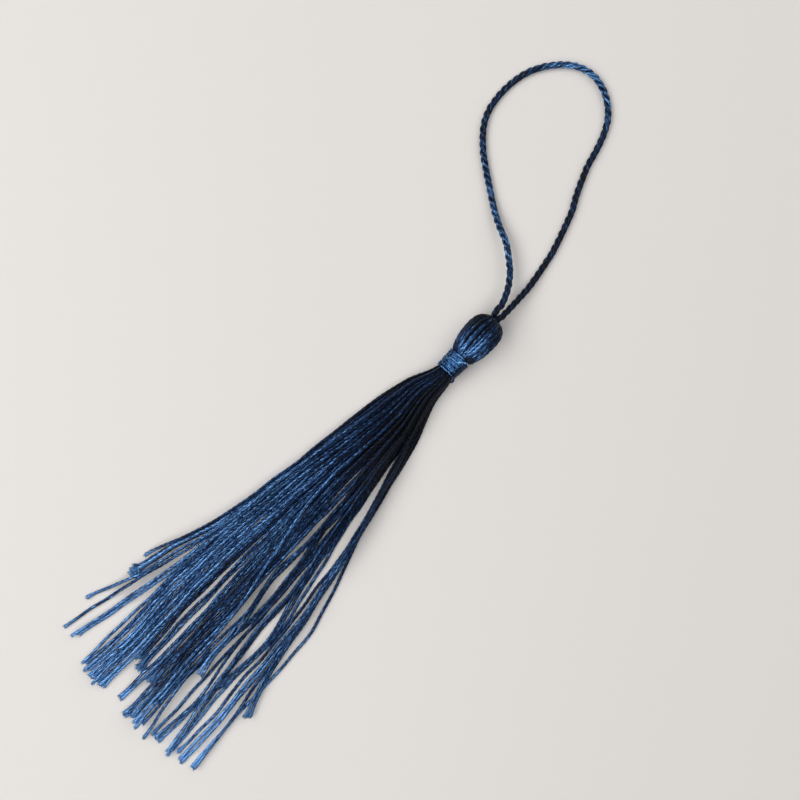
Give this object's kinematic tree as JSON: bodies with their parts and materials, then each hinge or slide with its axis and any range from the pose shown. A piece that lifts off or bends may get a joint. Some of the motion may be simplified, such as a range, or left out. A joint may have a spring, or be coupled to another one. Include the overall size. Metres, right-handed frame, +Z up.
{
  "type": "tassel",
  "caption": "Yarn tassel lying flat: a ridged egg-shaped head, a thread-bound neck, a splayed skirt of cut ends and a loop of twisted cord to hang it by.",
  "frame": {"origin": "middle of the tassel's length and width on the surface that it lies on, its hanging loop left out", "axes": "+Y along the tassel from its cut ends to its head and loop, +Z up from the surface, +X across"},
  "size_m": [0.0449, 0.1319, 0.0061],
  "materials": {
    "navy_yarn": "satin",
    "binding_thread": "satin",
    "loop_cord": "satin"
  },
  "bodies": {
    "root": {"tassel_yarns": "navy_yarn", "neck_binding": "binding_thread", "hanging_loop": "loop_cord"}
  },
  "joints": []
}
